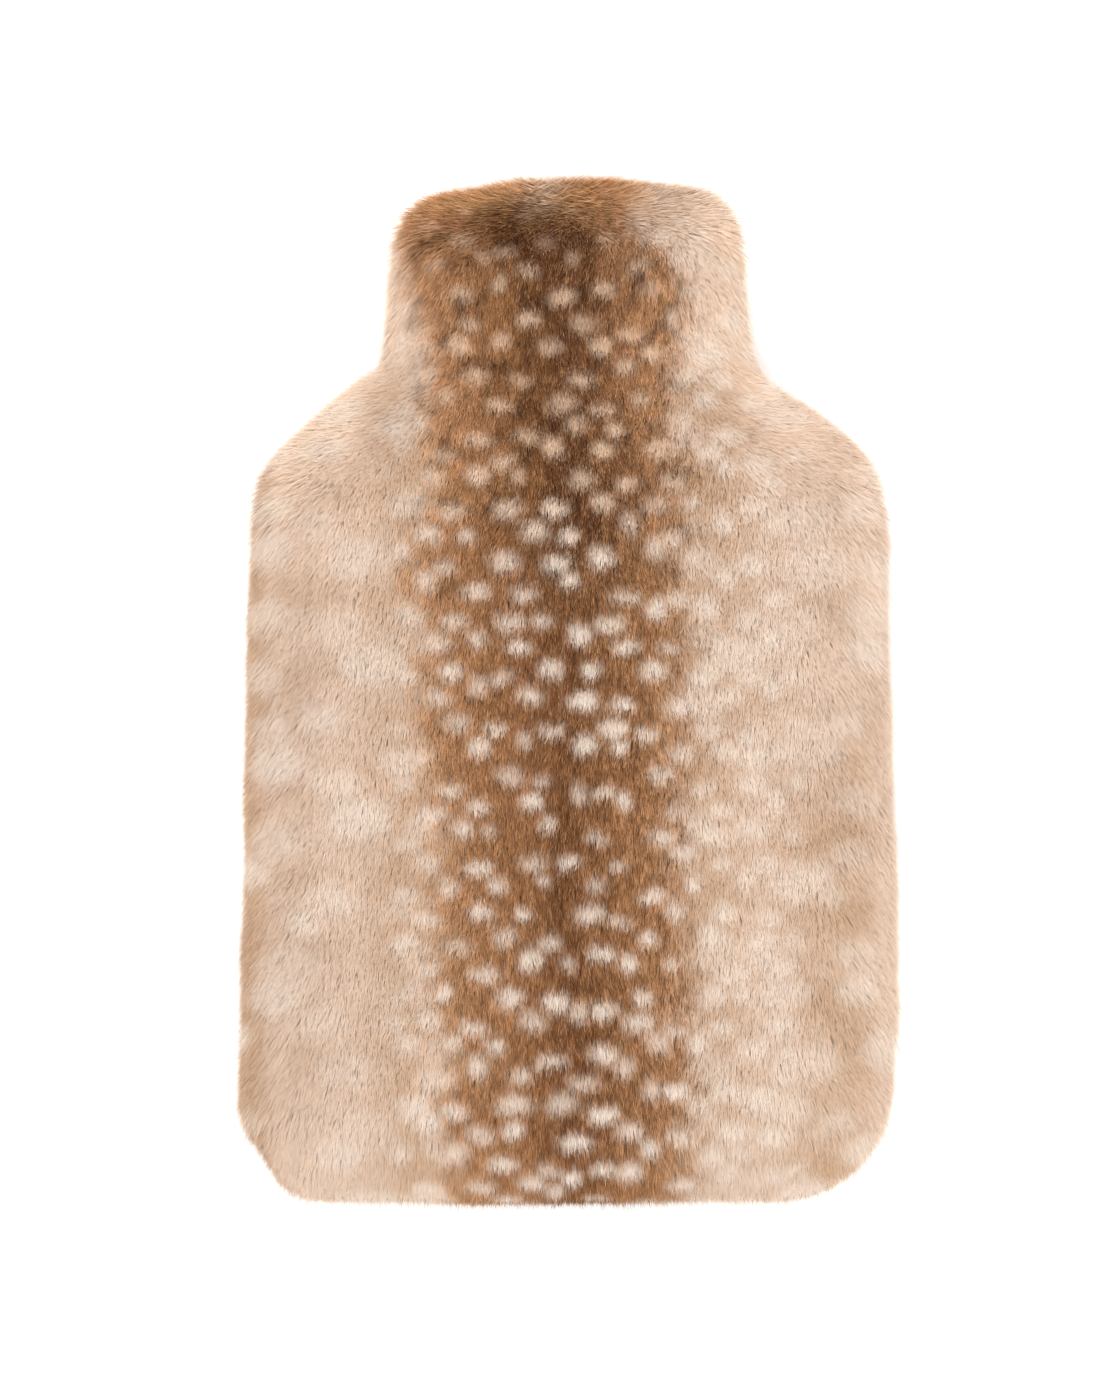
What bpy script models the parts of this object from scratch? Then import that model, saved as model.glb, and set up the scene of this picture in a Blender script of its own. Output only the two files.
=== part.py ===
"""A furry cover for a hot water bottle, lying on its back and filled out as if the bottle were in it.

Units are metres and +Z is up. X runs across the cover, +Y runs up to its neck, and the underside lies
at Z = 0. The cover is sewn from three pieces of pile cloth: one front panel, cut in one with its neck,
and a back in two panels, which leave a straight slit between them for the bottle.
"""

import math

import bmesh
import bpy
from mathutils import Vector
from mathutils.geometry import delaunay_2d_cdt

MM = 0.001

# The pile cloth: its backing with the pile that stands on it.
WALL = 9.0 * MM

# The filled cover: how high the side seam runs, and how far in from it the cloth has turned flat.
SEAM_HEIGHT = 24.0 * MM
SEAM_GAP = 0.3 * MM
FRONT_ROUND = 34.0 * MM
BACK_ROUND = 28.0 * MM

# The slit across the back, measured up from the foot of the cover.
SLIT_FROM_FOOT = 232.0 * MM
SLIT_WIDTH = 6.0 * MM

# The side seams draw the two lips of the slit together, from here outwards, and a little way along the cloth.
LIPS_MEET_FROM = 84.0 * MM
LIPS_MEET_AT = 106.0 * MM
LIP_PULL_REACH = 26.0 * MM

# How the cloth fills out: the height of its crown at sections along the cover, and how much
# lower the crown lies at the sides than along the middle.
CROWN_SECTIONS = (
    # section, up from the foot in mm, crown in mm
    ("foot", 0.0, 50.5),
    ("lower body", 65.0, 55.0),
    ("middle", 145.0, 57.0),
    ("upper body", 222.0, 54.5),
    ("shoulders", 268.0, 49.0),
    ("waist", 301.0, 44.0),
    ("neck", 332.0, 45.5),
    ("top", 360.0, 42.5),
)
SIDE_FALL = 7.0 * MM
HALF_WIDTH = 115.0 * MM

# The outline of every panel, counter-clockwise from the foot: straight runs that meet in rounded corners.
OUTLINE_CORNERS = (
    # corner, x in mm, up from the foot in mm, radius in mm
    ("left foot", -99.0, 1.2, 16.0),
    ("middle of foot", -8.0, 0.0, 300.0),
    ("right foot", 113.0, 1.6, 42.0),
    ("right hip", 115.9, 75.0, 250.0),
    ("right shoulder", 110.8, 261.0, 43.0),
    ("right waist", 65.4, 293.0, 18.0),
    ("right top", 59.2, 355.6, 24.0),
    ("top, right of middle", 7.0, 360.4, 60.0),
    ("top, left of middle", -17.0, 360.3, 60.0),
    ("left top", -59.3, 351.7, 22.0),
    ("left waist", -66.4, 295.6, 14.0),
    ("left shoulder", -111.4, 256.2, 38.0),
    ("left hip", -115.6, 75.0, 250.0),
    ("left foot side", -116.0, 30.5, 24.0),
)
SMALLEST_RADIUS = 6.0 * MM

# Unevenness of hand-filled soft cloth.
OUTLINE_WAVE = 0.25 * MM
CROWN_WAVE = 0.8 * MM

# Fineness of the surface.
ARC_STEP = math.radians(17.0)
RUN_STEP = 13.0 * MM
CROWN_STEP = 15.0 * MM
BASE_STEP = 40.0 * MM
OUTER_RINGS = 8
INNER_RINGS = 5


def turn_left(direction):
    return Vector((-direction.y, direction.x))


def corner_facts():
    """Give each corner its place, radius, the directions in and out of it, and its signed turn."""
    places = [Vector((x, y)) * MM for _, x, y, _ in OUTLINE_CORNERS]
    radii = [radius * MM for _, _, _, radius in OUTLINE_CORNERS]
    facts = []
    for i, place in enumerate(places):
        way_in = (place - places[i - 1]).normalized()
        way_out = (places[(i + 1) % len(places)] - place).normalized()
        turn = math.atan2(way_in.cross(way_out), way_in.dot(way_out))
        facts.append((place, radii[i], way_in, way_out, turn))
    return facts


CORNERS = corner_facts()


def corner_arc(corner, inset):
    """Return the points of one rounded corner, moved in from the outline by inset."""
    place, radius, way_in, way_out, turn = corner
    side_in, side_out = turn_left(way_in), turn_left(way_out)
    place = place + inset * (side_in + side_out) / (1.0 + side_in.dot(side_out))
    bend = 1.0 if turn > 0.0 else -1.0
    radius = max(radius - bend * inset, SMALLEST_RADIUS)
    start = place - way_in * radius * math.tan(abs(turn) / 2.0)
    centre = start + side_in * bend * radius
    spoke = start - centre
    steps = max(2, round(abs(turn) / ARC_STEP))
    points = []
    for step in range(steps + 1):
        angle = turn * step / steps
        c, s = math.cos(angle), math.sin(angle)
        points.append(centre + Vector((spoke.x * c - spoke.y * s, spoke.x * s + spoke.y * c)))
    return points


def run_steps():
    """Count the steps that each straight run of the outline takes, the same for every ring."""
    arcs = [corner_arc(corner, 0.0) for corner in CORNERS]
    counts = []
    for i, arc in enumerate(arcs):
        length = (arcs[(i + 1) % len(arcs)][0] - arc[-1]).length
        counts.append(max(1, round(length / RUN_STEP)))
    return counts


RUN_COUNTS = run_steps()


def plain_ring(inset):
    """Return the outline moved in by inset, before it is made uneven."""
    arcs = [corner_arc(corner, inset) for corner in CORNERS]
    points = []
    for i, arc in enumerate(arcs):
        points.extend(arc)
        begin, end = arc[-1], arcs[(i + 1) % len(arcs)][0]
        for step in range(1, RUN_COUNTS[i]):
            points.append(begin.lerp(end, step / RUN_COUNTS[i]))
    return points


def uneven(point):
    """Shift a point of the plan a little, so that no edge of the cloth runs dead straight."""
    across = math.sin(point.y / (9.0 * MM) + 0.6) + math.sin(point.y / (21.0 * MM) + 2.1)
    along = math.sin(point.x / (8.0 * MM) + 1.4) + math.sin(point.x / (19.0 * MM))
    return point + Vector((across, along)) * OUTLINE_WAVE


def middle_of_outline():
    """Find the middle of the outline, which becomes the origin."""
    points = [uneven(point) for point in plain_ring(0.0)]
    xs = [point.x for point in points]
    ys = [point.y for point in points]
    return Vector(((min(xs) + max(xs)) / 2.0, (min(ys) + max(ys)) / 2.0))


MIDDLE = middle_of_outline()


def crown_height(point):
    """Return the height of the filled cloth's crown over a point of the plan."""
    rows = [(y * MM, height * MM) for _, y, height in CROWN_SECTIONS]
    y = min(max(point.y, rows[0][0]), rows[-1][0])
    i = max(k for k in range(len(rows) - 1) if rows[k][0] <= y)
    slopes = []
    for k in (i, i + 1):
        low, high = rows[max(k - 1, 0)], rows[min(k + 1, len(rows) - 1)]
        slopes.append((high[1] - low[1]) / (high[0] - low[0]))
    span = rows[i + 1][0] - rows[i][0]
    t = (y - rows[i][0]) / span
    height = rows[i][1] * (1 + 2 * t) * (1 - t) ** 2 + rows[i + 1][1] * t * t * (3 - 2 * t)
    height += span * (slopes[0] * t * (1 - t) ** 2 - slopes[1] * t * t * (1 - t))
    height -= SIDE_FALL * (point.x / HALF_WIDTH) ** 2
    ripple = math.sin(point.x / (13.0 * MM) + point.y / (29.0 * MM))
    ripple += math.sin(point.y / (17.0 * MM) - point.x / (23.0 * MM) + 1.7)
    return height + CROWN_WAVE * ripple / 2.0


def front_outer(point, rise):
    return SEAM_HEIGHT + SEAM_GAP / 2.0 + (crown_height(point) - SEAM_HEIGHT) * rise


def front_inner(point, rise):
    return SEAM_HEIGHT + SEAM_GAP / 2.0 + (crown_height(point) - WALL - SEAM_HEIGHT) * rise


def back_outer(_point, rise):
    return (SEAM_HEIGHT - SEAM_GAP / 2.0) * (1.0 - rise)


def back_inner(_point, rise):
    return WALL + (SEAM_HEIGHT - SEAM_GAP / 2.0 - WALL) * (1.0 - rise)


def lattice(ring, spacing):
    """Return points in offset rows inside a ring, well clear of its edge."""
    xs = [point.x for point in ring]
    ys = [point.y for point in ring]
    count = len(ring)
    points = []
    row = 0
    y = min(ys) + spacing / 2.0
    while y < max(ys):
        x = min(xs) + (spacing / 2.0 if row % 2 else spacing)
        while x < max(xs):
            spot = Vector((x, y))
            crossings = 0
            clearance = spacing
            for i in range(count):
                a, b = ring[i], ring[(i + 1) % count]
                if (a.y > y) != (b.y > y) and x < a.x + (b.x - a.x) * (y - a.y) / (b.y - a.y):
                    crossings += 1
                clearance = min(clearance, (spot - a).length)
            if crossings % 2 and clearance > spacing / 2.0:
                points.append(spot)
            x += spacing
        y += spacing * math.sqrt(3.0) / 2.0
        row += 1
    return points


def add_skin(bm, first_inset, last_inset, rings, height, spacing):
    """Add one face of a panel: rings from its edge inwards, then a lattice over the middle.

    Returns the vertices along its edge.
    """
    loops = []
    points = []
    for step in range(rings + 1):
        angle = math.pi / 2.0 * step / rings
        inset = first_inset + (last_inset - first_inset) * (1.0 - math.cos(angle))
        points = plain_ring(inset)
        rise = math.sin(angle)
        loops.append([add_vert(bm, point, height(point, rise)) for point in points])
    for outer, inner in zip(loops, loops[1:]):
        join_loops(bm, outer, inner)
    spots = lattice(points, spacing)
    verts = loops[-1] + [add_vert(bm, spot, height(spot, 1.0)) for spot in spots]
    rim = list(range(len(points)))
    plan = delaunay_2d_cdt(points + spots, [], [rim], 1, 1e-7)
    for face in plan[2]:
        bm.faces.new([verts[plan[3][corner][0]] for corner in face])
    return loops[0]


def add_vert(bm, point, z):
    placed = uneven(point) - MIDDLE
    return bm.verts.new((placed.x, placed.y, z))


def join_loops(bm, first, second):
    count = len(first)
    for i in range(count):
        j = (i + 1) % count
        bm.faces.new((first[i], first[j], second[j], second[i]))


def panel_mesh(outer_height, inner_height, reach, spacing):
    """Build one panel of pile cloth, closed along its edge by the flat band that meets the seam."""
    bm = bmesh.new()
    outer_edge = add_skin(bm, 0.0, reach, OUTER_RINGS, outer_height, spacing)
    inner_edge = add_skin(bm, WALL, reach, INNER_RINGS, inner_height, spacing)
    join_loops(bm, outer_edge, inner_edge)
    bmesh.ops.triangulate(bm, faces=bm.faces)
    bmesh.ops.recalc_face_normals(bm, faces=bm.faces)
    return bm


def cut_at(bm, y, keep_upper):
    """Cut a panel straight across at y and close the cut edge of the cloth."""
    everything = bm.verts[:] + bm.edges[:] + bm.faces[:]
    cut = bmesh.ops.bisect_plane(
        bm,
        geom=everything,
        dist=0.00001,
        plane_co=(0.0, y, 0.0),
        plane_no=(0.0, 1.0, 0.0),
        clear_inner=keep_upper,
        clear_outer=not keep_upper,
    )
    edges = [item for item in cut["geom_cut"] if isinstance(item, bmesh.types.BMEdge)]
    bmesh.ops.triangle_fill(bm, edges=edges, use_beauty=True)
    bmesh.ops.triangulate(bm, faces=bm.faces)
    bmesh.ops.recalc_face_normals(bm, faces=bm.faces)


def draw_lips_together(bm, y, side):
    """Pull one lip of the slit at y towards the other near the side seams; side is 1 above the slit."""
    most = side * (SLIT_WIDTH - SEAM_GAP) / 2.0
    for vert in bm.verts:
        outward = (abs(vert.co.x) - LIPS_MEET_FROM) / (LIPS_MEET_AT - LIPS_MEET_FROM)
        nearness = 1.0 - abs(vert.co.y - y) / LIP_PULL_REACH
        if outward > 0.0 and nearness > 0.0:
            vert.co.y -= most * smooth_step(outward) * smooth_step(nearness)


def smooth_step(t):
    t = min(t, 1.0)
    return t * t * (3.0 - 2.0 * t)


def pile_cloth(name, colour):
    """Make a matt furry finish of one colour."""
    material = bpy.data.materials.new(name)
    material.use_nodes = True
    shader = material.node_tree.nodes["Principled BSDF"]
    shader.inputs["Base Color"].default_value = (*colour, 1.0)
    shader.inputs["Roughness"].default_value = 0.85
    shader.inputs["Metallic"].default_value = 0.0
    return material


def add_piece(name, bm, material, cover):
    mesh = bpy.data.meshes.new(name)
    bm.to_mesh(mesh)
    bm.free()
    mesh.materials.append(material)
    mesh.shade_smooth()
    mesh.set_sharp_from_angle(angle=math.radians(50.0))
    piece = bpy.data.objects.new(name, mesh)
    bpy.context.scene.collection.objects.link(piece)
    piece.parent = cover
    return piece


def main():
    for old in list(bpy.data.objects):
        bpy.data.objects.remove(old)
    cover = bpy.data.objects.new("cover", None)
    bpy.context.scene.collection.objects.link(cover)

    front = panel_mesh(front_outer, front_inner, FRONT_ROUND, CROWN_STEP)
    add_piece("front_panel", front, pile_cloth("front pile", (0.485, 0.283, 0.171)), cover)

    slit = SLIT_FROM_FOOT - MIDDLE.y
    upper_lip = slit + SLIT_WIDTH / 2.0
    upper = panel_mesh(back_outer, back_inner, BACK_ROUND, BASE_STEP)
    cut_at(upper, upper_lip, keep_upper=True)
    draw_lips_together(upper, upper_lip, 1.0)
    add_piece("back_upper", upper, pile_cloth("upper back pile", (0.620, 0.430, 0.300)), cover)

    lower_lip = slit - SLIT_WIDTH / 2.0
    lower = panel_mesh(back_outer, back_inner, BACK_ROUND, BASE_STEP)
    cut_at(lower, lower_lip, keep_upper=False)
    draw_lips_together(lower, lower_lip, -1.0)
    add_piece("back_lower", lower, pile_cloth("lower back pile", (0.560, 0.370, 0.245)), cover)


main()
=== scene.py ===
# %% [markdown]
# # A furry cover for a hot water bottle
#
# The real thing is sewn from short pile cloth: a front panel with its neck cut in one, and a back in two
# panels with a slit between them. It is printed like a fawn: brown down the middle with cream spots,
# and pale sides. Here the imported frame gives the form, and this lesson dresses it: thin cloth first, and
# then the pile, hair by hair.

# %% Load the frame
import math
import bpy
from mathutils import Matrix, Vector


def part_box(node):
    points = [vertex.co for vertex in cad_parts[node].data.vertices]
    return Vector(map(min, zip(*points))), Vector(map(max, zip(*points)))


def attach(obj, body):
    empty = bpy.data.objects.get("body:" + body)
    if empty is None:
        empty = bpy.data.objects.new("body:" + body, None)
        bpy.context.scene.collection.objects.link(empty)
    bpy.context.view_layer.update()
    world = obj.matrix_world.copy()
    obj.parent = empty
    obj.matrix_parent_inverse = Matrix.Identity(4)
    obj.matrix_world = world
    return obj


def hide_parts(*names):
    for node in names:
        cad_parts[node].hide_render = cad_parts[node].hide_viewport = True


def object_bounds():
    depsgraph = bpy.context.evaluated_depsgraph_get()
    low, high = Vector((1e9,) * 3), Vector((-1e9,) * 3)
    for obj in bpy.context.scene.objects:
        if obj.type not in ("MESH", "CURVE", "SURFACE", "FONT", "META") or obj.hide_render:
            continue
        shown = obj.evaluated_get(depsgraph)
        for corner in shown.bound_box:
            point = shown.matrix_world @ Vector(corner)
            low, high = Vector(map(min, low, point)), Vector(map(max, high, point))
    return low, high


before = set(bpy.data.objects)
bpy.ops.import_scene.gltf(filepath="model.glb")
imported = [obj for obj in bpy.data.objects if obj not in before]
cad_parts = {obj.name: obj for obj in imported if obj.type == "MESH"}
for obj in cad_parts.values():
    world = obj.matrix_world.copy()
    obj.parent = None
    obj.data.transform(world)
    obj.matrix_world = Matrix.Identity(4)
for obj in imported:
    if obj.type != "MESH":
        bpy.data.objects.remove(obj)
cad_low, cad_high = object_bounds()

# %% Libraries and the size of the frame
from types import SimpleNamespace

import bmesh
import bpy
import numpy as np
from mathutils import Vector

MM = 0.001
print("frame in mm:", [round(c / MM) for c in cad_low], [round(c / MM) for c in cad_high])

# %% [markdown]
# ## Where we look from
#
# The cover lies on its back and the camera hangs straight above it with the neck towards the top of the
# picture. A long lens from far away flattens the view, as in a product photo, so that the sides aren't
# spread by perspective.

# %% Camera
PICTURE_WIDTH, PICTURE_HEIGHT = 1100, 1375
COVER_TOP_PIXEL, COVER_FOOT_PIXEL = 174, 1203
COVER_MIDDLE_PIXEL = 568.5
SENSOR = 36.0 * MM
CAMERA_HEIGHT = 1.9

cover_length = cad_high.y - cad_low.y
pixel = cover_length / (COVER_FOOT_PIXEL - COVER_TOP_PIXEL)
seam_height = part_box("back_lower")[1].z
distance = CAMERA_HEIGHT - seam_height

camera_data = bpy.data.cameras.new("camera")
camera_data.sensor_width = SENSOR / MM
camera_data.lens = SENSOR / MM * distance / (pixel * PICTURE_HEIGHT)
camera = bpy.data.objects.new("camera", camera_data)
camera.location.x = -(COVER_MIDDLE_PIXEL - PICTURE_WIDTH / 2) * pixel
camera.location.y = ((COVER_TOP_PIXEL + COVER_FOOT_PIXEL) / 2 - PICTURE_HEIGHT / 2) * pixel
camera.location.z = CAMERA_HEIGHT
bpy.context.scene.collection.objects.link(camera)
bpy.context.scene.camera = camera
print("one pixel is", round(pixel / MM, 3), "mm, lens", round(camera_data.lens, 1), "mm")

# %% [markdown]
# ## Floor and light
#
# A matt, nearly white floor and soft light from every side keep the picture plain, as in a photo studio
# with a light tent. A large lamp above and towards the neck gives the hairs a lit side and a shaded
# one; without it the pile would look like flat paint.

# %% Floor
FLOOR_SIZE = 6.0


def new_material(name):
    """Make a material and give back its node tree and its shader node."""
    material = bpy.data.materials.new(name)
    material.use_nodes = True
    return material, material.node_tree, material.node_tree.nodes["Principled BSDF"]


floor_mesh = bpy.data.meshes.new("floor")
floor_bm = bmesh.new()
bmesh.ops.create_grid(floor_bm, x_segments=1, y_segments=1, size=FLOOR_SIZE / 2)
floor_bm.to_mesh(floor_mesh)
floor_bm.free()
floor = bpy.data.objects.new("floor", floor_mesh)
floor_material, _, floor_shader = new_material("pale floor")
floor_shader.inputs["Base Color"].default_value = (0.92, 0.92, 0.92, 1.0)
floor_shader.inputs["Roughness"].default_value = 0.9
floor_mesh.materials.append(floor_material)
bpy.context.scene.collection.objects.link(floor)

# %% Lights
# name, place in m, size in m, power in W
LAMPS = (
    ("key", (-0.5, 0.9, 1.5), 0.9, 14.0),
    ("fill", (0.9, -0.5, 1.3), 1.2, 7.5),
)
SKY_STRENGTH = 1.45

for name, place, size, power in LAMPS:
    lamp_data = bpy.data.lights.new(name, "AREA")
    lamp_data.size = size
    lamp_data.energy = power
    lamp = bpy.data.objects.new(name, lamp_data)
    lamp.location = place
    lamp.rotation_euler = (-Vector(place)).to_track_quat("-Z", "Y").to_euler()
    bpy.context.scene.collection.objects.link(lamp)

world = bpy.data.worlds.new("soft surround")
world.use_nodes = True
sky = world.node_tree.nodes["Background"]
sky.inputs["Color"].default_value = (1.0, 0.99, 0.98, 1.0)
sky.inputs["Strength"].default_value = SKY_STRENGTH
bpy.context.scene.world = world
bpy.context.scene.view_settings.view_transform = "Standard"
print("lamps:", [name for name, *_ in LAMPS])

# %% [markdown]
# ## The form under the pile
#
# The frame's solids reach as far as the tips of the pile. The cloth that the pile stands on lies deeper,
# so each cloth starts as the outer skin of its solid, is made finer and smooth, and is then sunk by the
# depth of the pile. Underneath, where the cover's weight presses the pile flat, it sinks only a little.
# Modelling the cloth afresh would work too, but a skin taken from the frame can't drift away from it.

# %% Take the outer skin of a solid
CAVITY_HALF_LENGTH = 140.0 * MM
LEAST_OUTWARD = 2.0 * MM
LIP_REACH = 4.0 * MM
LIP_FACING = 0.8
WELD = 0.02 * MM
slit_y = (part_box("back_upper")[0].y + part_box("back_lower")[1].y) / 2


def is_outside(face):
    """Tell an outer face of the pouch from the faces of its inside, its seam band and the slit's lips."""
    spot = face.calc_center_median()
    along = min(max(spot.y, -CAVITY_HALF_LENGTH), CAVITY_HALF_LENGTH)
    outward = face.normal.dot(spot - Vector((0.0, along, seam_height)))
    in_lip = abs(spot.y - slit_y) < LIP_REACH and abs(face.normal.y) > LIP_FACING
    return outward > LEAST_OUTWARD and not in_lip


def outer_skin(node):
    """Copy a node's outer faces and subdivide them into a finer, smoother skin."""
    bm = bmesh.new()
    bm.from_mesh(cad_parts[node].data)
    bmesh.ops.remove_doubles(bm, verts=bm.verts, dist=WELD)
    bmesh.ops.delete(bm, geom=[face for face in bm.faces if not is_outside(face)], context="FACES")
    mesh = bpy.data.meshes.new(node + "_skin")
    bm.to_mesh(mesh)
    bm.free()
    skin = bpy.data.objects.new(node + "_skin", mesh)
    bpy.context.scene.collection.objects.link(skin)
    subdivision = skin.modifiers.new("finer", "SUBSURF")
    subdivision.levels = subdivision.render_levels = 1
    return skin


skins = {node: outer_skin(node) for node in ("front_panel", "back_upper", "back_lower")}


# %% Read a skin as plain arrays
def triangles_of(skin):
    """Return places and normals of a skin's points, and its triangles."""
    shown = skin.evaluated_get(bpy.context.evaluated_depsgraph_get())
    mesh = shown.to_mesh()
    mesh.calc_loop_triangles()
    places = np.empty(len(mesh.vertices) * 3, np.float32)
    normals = np.empty(len(mesh.vertices) * 3, np.float32)
    corners = np.empty(len(mesh.loop_triangles) * 3, np.int32)
    mesh.vertices.foreach_get("co", places)
    mesh.vertices.foreach_get("normal", normals)
    mesh.loop_triangles.foreach_get("vertices", corners)
    shown.to_mesh_clear()
    return places.reshape(-1, 3).astype(float), normals.reshape(-1, 3).astype(float), corners.reshape(-1, 3)


PILE_DEPTH = 7.0 * MM
PRESSED_DEPTH = 2.6 * MM
PRESSED_FROM, PRESSED_FULLY = 0.35, 0.85


def smooth(value, low, high):
    """Go smoothly from 0 to 1 as value goes from low to high."""
    share = np.clip((value - low) / (high - low), 0.0, 1.0)
    return share * share * (3.0 - 2.0 * share)


def pile_depth(normals):
    """Give the depth of the pile: full on the top and the sides, pressed where the cloth faces down."""
    down = smooth(-normals[:, 2], PRESSED_FROM, PRESSED_FULLY)
    return PILE_DEPTH + (PRESSED_DEPTH - PILE_DEPTH) * down


def sunk_places(node):
    """Return the places of a cloth's points: its skin, sunk by the depth of the pile."""
    places, normals, _ = skin_arrays[node]
    return places - normals * pile_depth(normals)[:, None]


skin_arrays = {node: triangles_of(skin) for node, skin in skins.items()}
for node, (places, normals, corners) in skin_arrays.items():
    print(node, "skin:", len(places), "points,", len(corners), "triangles")

# %% [markdown]
# ## Where the print lies
#
# The print is made on flat cloth, and the sides of the cover bend away from the viewer. Looking down on
# the bend, a print that was laid on by x and y alone would smear into streaks. So each hair remembers
# its place on the flat cloth: the bend is rolled out before the print is looked up.

# %% Roll the bend out flat
BEND_RADIUS = 28.0 * MM


def flat_place(places, normals):
    """Return the place on the flat cloth of points on the bent one."""
    tilt = np.arccos(np.clip(np.abs(normals[:, 2]), 0.0, 1.0))
    sideways = normals[:, :2]
    length = np.maximum(np.linalg.norm(sideways, axis=1, keepdims=True), 1e-6)
    extra = BEND_RADIUS * (tilt - np.sin(tilt))
    return places[:, :2] + sideways / length * extra[:, None]


# %% [markdown]
# ## The cloth
#
# Pile cloth has a knitted backing about a millimetre thick. It shows between the hairs and along the
# slit, so it is a real sheet here, thickened inwards. It could be left out under such a dense pile, but
# then light would leak through the cover.

# %% Build the three cloths
BACKING = 1.0 * MM
MIDDLE_TINT = 0.5
ROOT = "root"


def sunk_cloth(name, node):
    """Make a panel's backing: its skin, sunk by the depth of the pile and thickened inwards."""
    _, normals, corners = skin_arrays[node]
    sunk = sunk_places(node)
    mesh = bpy.data.meshes.new(name)
    mesh.from_pydata(sunk.tolist(), [], corners.tolist())
    mesh.shade_smooth()
    place = mesh.attributes.new("print_place", "FLOAT_VECTOR", "POINT")
    flat = flat_place(sunk, normals) / MM
    stored = np.column_stack((flat, np.full(len(flat), MIDDLE_TINT)))
    place.data.foreach_set("vector", stored.astype(np.float32).ravel())
    cloth = bpy.data.objects.new(name, mesh)
    bpy.context.scene.collection.objects.link(cloth)
    thick = cloth.modifiers.new("backing", "SOLIDIFY")
    thick.thickness = BACKING
    thick.offset = -1.0
    thick.material_offset = thick.material_offset_rim = 1
    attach(cloth, ROOT)
    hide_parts(node)
    return cloth


def triangle_areas(sunk, corners):
    a, b, c = (sunk[corners[:, k]] for k in range(3))
    return np.linalg.norm(np.cross(b - a, c - a), axis=1) / 2


def area_of(node):
    return float(triangle_areas(sunk_places(node), skin_arrays[node][2]).sum())


front_cloth = sunk_cloth("front_cloth", "front_panel")
upper_cloth = sunk_cloth("back_upper_cloth", "back_upper")
lower_cloth = sunk_cloth("back_lower_cloth", "back_lower")
cloths = (front_cloth, upper_cloth, lower_cloth)
for skin in skins.values():
    bpy.data.objects.remove(skin)
print("cloth areas in square m:", {node: round(area_of(node), 4) for node in skin_arrays})

# %% [markdown]
# ## Smooth randomness
#
# Pile never stands even: it is brushed one way, in patches and small tufts. All of that is smooth noise
# at different sizes, so one helper makes it: random values on a lattice, blended softly in between.

# %% Noise on a lattice
LATTICE = 256
LATTICE_SEED = 20
NEXT_LAYER = (37.3, 91.7)
lattice_values = np.random.default_rng(LATTICE_SEED).uniform(-1.0, 1.0, (LATTICE, LATTICE))


def noise(x, y, cell, layer):
    """Return smooth noise from -1 to 1 whose bumps are about cell across; each layer differs."""
    gx = x / cell + NEXT_LAYER[0] * (layer + 1)
    gy = y / cell + NEXT_LAYER[1] * (layer + 1)
    ix, iy = np.floor(gx).astype(int), np.floor(gy).astype(int)
    fx, fy = smooth(gx - ix, 0.0, 1.0), smooth(gy - iy, 0.0, 1.0)

    def value(dx, dy):
        return lattice_values[(ix + dx) % LATTICE, (iy + dy) % LATTICE]

    low = value(0, 0) * (1 - fx) + value(1, 0) * fx
    high = value(0, 1) * (1 - fx) + value(1, 1) * fx
    return low * (1 - fy) + high * fy


print("noise lattice:", lattice_values.shape)


# %% [markdown]
# ## How the hairs lie
#
# The pile is brushed from the neck towards the foot, turning a little outward at the sides. At the neck's
# top edge it parts in the middle and lies sideways. The direction is chosen on the flat panel and is then
# carried over the edge with the cloth, by the smallest turn from straight up to the cloth's own facing,
# so that the hairs keep lying along the cloth and the front's and the back's run the same way at the seam.
# A hair that points straight at the viewer looks like a dark dot, so on the steep sides hairs lean more.


# %% Brushing direction
# turns are in radians from straight down to the foot; steepness is 0 on the flat and 1 on a wall
SIDE_TURN = 0.35
SIDE_LEAN = 0.7
LEANING_SIDES = (0.35, 0.90)
RIM_STEEPNESS = (0.12, 0.90)
TOP_FROM, TOP_FULLY = 1.6, 3.0
PARTING_X = -4.0 * MM
PARTING_BLUR = 20.0 * MM
TOP_TURN = 1.35
TOP_MESS = 0.30
COMB_PATCH = 14.0 * MM
COMB_PATCH_TURN = 0.16
COMB_PATCH_EDGE = 0.12


def unit(vectors):
    return vectors / np.maximum(np.linalg.norm(vectors, axis=1, keepdims=True), 1e-9)


def brushed(normals, x, y, dice):
    """Return the way each hair is brushed along the cloth: down the middle, turning outward at the rim."""
    steep = np.linalg.norm(normals[:, :2], axis=1)
    outward = np.arctan2(normals[:, 0], -normals[:, 1])
    at_top = smooth(np.abs(outward), TOP_FROM, TOP_FULLY)
    side_turn = outward * np.abs(outward) / math.pi * SIDE_TURN
    top_turn = np.sign(x - PARTING_X + dice.normal(0.0, PARTING_BLUR, len(x))) * TOP_TURN
    patch = noise(x, y, COMB_PATCH, 8)
    turn = side_turn + (top_turn - side_turn) * at_top
    turn *= smooth(steep + COMB_PATCH_EDGE * patch, *RIM_STEEPNESS)
    turn *= np.where(normals[:, 2] < 0.0, at_top - 1.0, 1.0)
    turn += COMB_PATCH_TURN * patch + TOP_MESS * at_top * steep * dice.normal(0.0, 1.0, len(x))
    comb = np.stack((np.sin(turn), -np.cos(turn), np.zeros(len(x))), axis=1)
    up = np.where(normals[:, 2:] < 0.0, -1.0, 1.0) * np.array((0.0, 0.0, 1.0))
    over_edge = (comb * normals).sum(axis=1)
    share = over_edge / (1.0 + (up * normals).sum(axis=1))
    length = 1.0 + SIDE_LEAN * smooth(steep, *LEANING_SIDES) * (1.0 - np.minimum(np.abs(over_edge), 1.0))
    return (comb - (up + normals) * share[:, None]) * length[:, None]


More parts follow.
